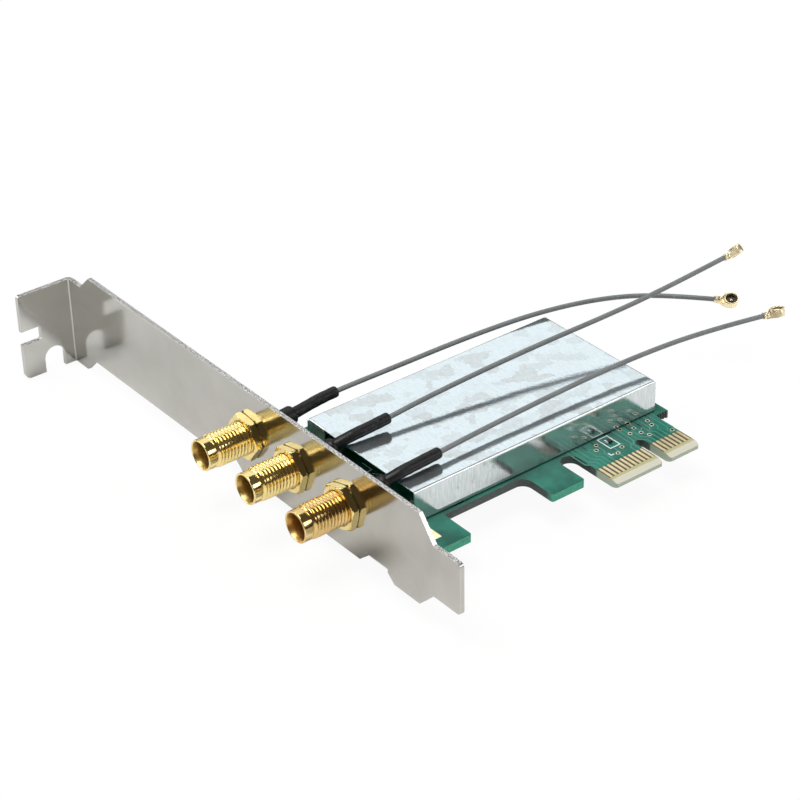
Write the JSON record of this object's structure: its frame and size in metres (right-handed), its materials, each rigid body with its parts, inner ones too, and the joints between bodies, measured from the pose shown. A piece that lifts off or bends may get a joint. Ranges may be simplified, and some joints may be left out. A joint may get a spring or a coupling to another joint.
{
  "type": "pcie wifi card",
  "caption": "Expansion-slot wireless card: folded steel bracket with threaded gold aerial jacks, green adapter board with edge contacts, metal shield and loose aerial leads.",
  "frame": {"origin": "middle of the fixed card's box in X and Y, at the height of its lowest point, the tab's lower edge", "axes": "+X along the bracket from the screw tab to the tongue, +Y from the bracket into the case, +Z from the board's solder side to its component side"},
  "size_m": [0.12, 0.1141, 0.0236],
  "materials": {
    "bracket_metal": "satin",
    "rivet_metal": "satin",
    "board": "satin",
    "gold": "polished",
    "shield_metal": "satin",
    "socket_plastic": "matte",
    "tin": "satin",
    "black_plastic": "matte",
    "capacitor_ceramic": "matte",
    "resistor_ceramic": "matte",
    "white_plastic": "satin",
    "sleeve_plastic": "satin",
    "lead_jacket": "satin",
    "plug_metal": "satin",
    "plug_core": "matte"
  },
  "bodies": {
    "root": {"bracket": "bracket_metal", "bracket_rivets": "rivet_metal", "circuit_board": "board", "mounting_pads": "gold", "edge_contacts": "gold", "shield_cover": "shield_metal", "mini_card_socket": "socket_plastic", "socket_contacts": "gold", "module_standoffs": "tin", "voltage_regulator": "black_plastic", "ceramic_capacitors": "capacitor_ceramic", "chip_resistors": "resistor_ceramic", "jack_nuts": "gold", "antenna_jack_1": "gold", "jack_insulator_1": "white_plastic", "jack_centre_pin_1": "gold", "crimp_ferrule_1": "gold", "heat_shrink_1": "sleeve_plastic", "antenna_lead_1": "lead_jacket", "lead_plug_1": "plug_metal", "plug_insulator_1": "plug_core", "plug_contact_1": "gold", "antenna_jack_2": "gold", "jack_insulator_2": "white_plastic", "jack_centre_pin_2": "gold", "crimp_ferrule_2": "gold", "heat_shrink_2": "sleeve_plastic", "antenna_lead_2": "lead_jacket", "lead_plug_2": "plug_metal", "plug_insulator_2": "plug_core", "plug_contact_2": "gold", "antenna_jack_3": "gold", "jack_insulator_3": "white_plastic", "jack_centre_pin_3": "gold", "crimp_ferrule_3": "gold", "heat_shrink_3": "sleeve_plastic", "antenna_lead_3": "lead_jacket", "lead_plug_3": "plug_metal", "plug_insulator_3": "plug_core", "plug_contact_3": "gold"}
  },
  "joints": []
}
